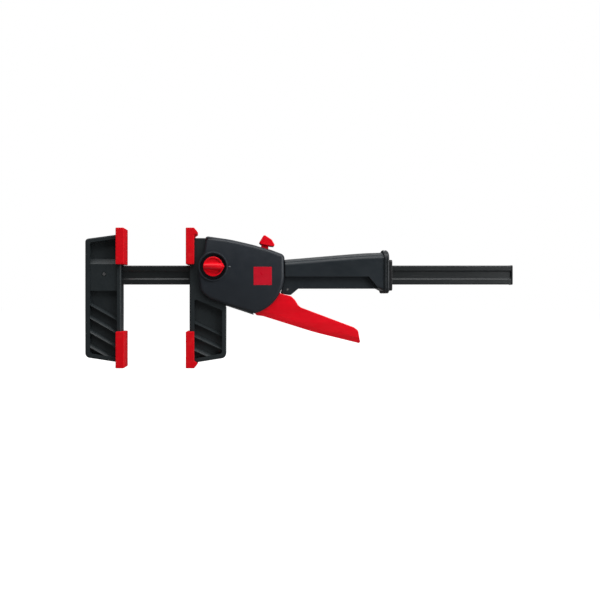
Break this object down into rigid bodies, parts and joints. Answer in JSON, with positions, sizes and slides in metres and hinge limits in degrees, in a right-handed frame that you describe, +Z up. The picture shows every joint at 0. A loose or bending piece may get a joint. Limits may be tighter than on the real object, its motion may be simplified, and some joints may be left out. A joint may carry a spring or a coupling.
{
  "type": "one-hand bar clamp",
  "caption": "One-hand F-shaped bar clamp and spreader: fixed jaw on a grooved rail, sliding jaw housing with pump handle, squeeze lever, release button and clamp/spread selector.",
  "frame": {"origin": "centre of the fixed lower pad's clamping face", "axes": "+X along the rail from the fixed jaw towards the handle, +Z up towards the release button, +Y to the rear; the housing's face with the selector knob looks along -Y"},
  "size_m": [0.4374, 0.0404, 0.1427],
  "materials": {
    "rail_steel": "blackened, satin",
    "jaw_plastic": "glass-filled plastic, fine texture",
    "cover_plastic": "moulded plastic, satin",
    "handle_plastic": "moulded plastic, satin",
    "collar_plastic": "moulded plastic, satin",
    "red_pad": "soft moulded pad, matt",
    "red_plastic": "moulded plastic, satin gloss",
    "label_red": "plain printed foil",
    "bright_steel": "bright",
    "hard_steel": "hardened",
    "spring_steel": "drawn wire",
    "screw_steel": "blackened",
    "guide_plastic": "low-friction plastic"
  },
  "bodies": {
    "fixed_arm": {"rail": "rail_steel", "rail_end_cap": "guide_plastic", "fixed_jaw": "jaw_plastic", "fixed_jaw_pin": "bright_steel", "fixed_upper_pad": "red_pad", "fixed_lower_pad": "red_pad"},
    "carriage": {"moving_jaw": "jaw_plastic", "moving_upper_pad": "red_pad", "moving_lower_pad": "red_pad", "front_cover": "cover_plastic", "rear_cover": "cover_plastic", "cover_screws": "screw_steel", "handle_front_shell": "handle_plastic", "handle_rear_shell": "handle_plastic", "handle_screws": "screw_steel", "handle_collar": "collar_plastic", "rail_guide_bush": "guide_plastic", "front_rail_guide": "guide_plastic", "middle_guide": "hard_steel", "handle_pin": "bright_steel", "lever_pivot_pins": "hard_steel", "label_plate": "label_red", "clamp_plate_spring": "spring_steel", "spread_plate_spring": "spring_steel", "brake_spring": "spring_steel"},
    "lever": {"lever": "red_plastic", "lever_drive_pins": "hard_steel"},
    "clamp_drive": {"clamp_drive_plate": "hard_steel"},
    "spread_drive": {"spread_drive_plate": "hard_steel"},
    "brake": {"brake_plates": "hard_steel", "release_button": "red_plastic"},
    "selector": {"selector_knob": "red_plastic", "selector_shaft": "hard_steel"},
    "shifter": {"shift_slider": "hard_steel"}
  },
  "joints": [
    {"name": "carriage_slide", "type": "slide", "parent": "fixed_arm", "child": "carriage", "axis": [1, 0, 0], "range_m": [-0.0624, 0.12]},
    {"name": "lever_squeeze", "type": "hinge", "parent": "carriage", "child": "lever", "pos_m": [0.121, 0, 0.0763], "axis": [0, -1, 0], "range_deg": [0, 22], "stiffness_Nm_per_rad": 1.5, "springref_deg": -14.32},
    {"name": "clamp_drive_slide", "type": "slide", "parent": "carriage", "child": "clamp_drive", "axis": [1, 0, 0], "range_m": [0, 0.005], "deforming": ["clamp_plate_spring"]},
    {"name": "spread_drive_slide", "type": "slide", "parent": "carriage", "child": "spread_drive", "axis": [-1, 0, 0], "range_m": [0, 0.005], "deforming": ["spread_plate_spring"]},
    {"name": "release_tilt", "type": "hinge", "parent": "carriage", "child": "brake", "pos_m": [0.1405, 0, 0.0563], "axis": [0, -1, 0], "range_deg": [0, 4], "stiffness_Nm_per_rad": 2, "springref_deg": -4.58, "deforming": ["brake_spring"]},
    {"name": "selector_turn", "type": "hinge", "parent": "carriage", "child": "selector", "pos_m": [0.0905, -0.0155, 0.0845], "axis": [0, 1, 0], "range_deg": [0, 180]},
    {"name": "shift_slide", "type": "slide", "parent": "carriage", "child": "shifter", "axis": [1, 0, 0], "range_m": [0, 0.006]}
  ],
  "couplings": [
    {"joint": "clamp_drive_slide", "follows": "lever_squeeze", "m_per_rad": 0.013},
    {"joint": "spread_drive_slide", "follows": "lever_squeeze", "m_per_rad": 0.013},
    {"joint": "shift_slide", "follows": "selector_turn", "m_per_rad": 0.001909}
  ]
}
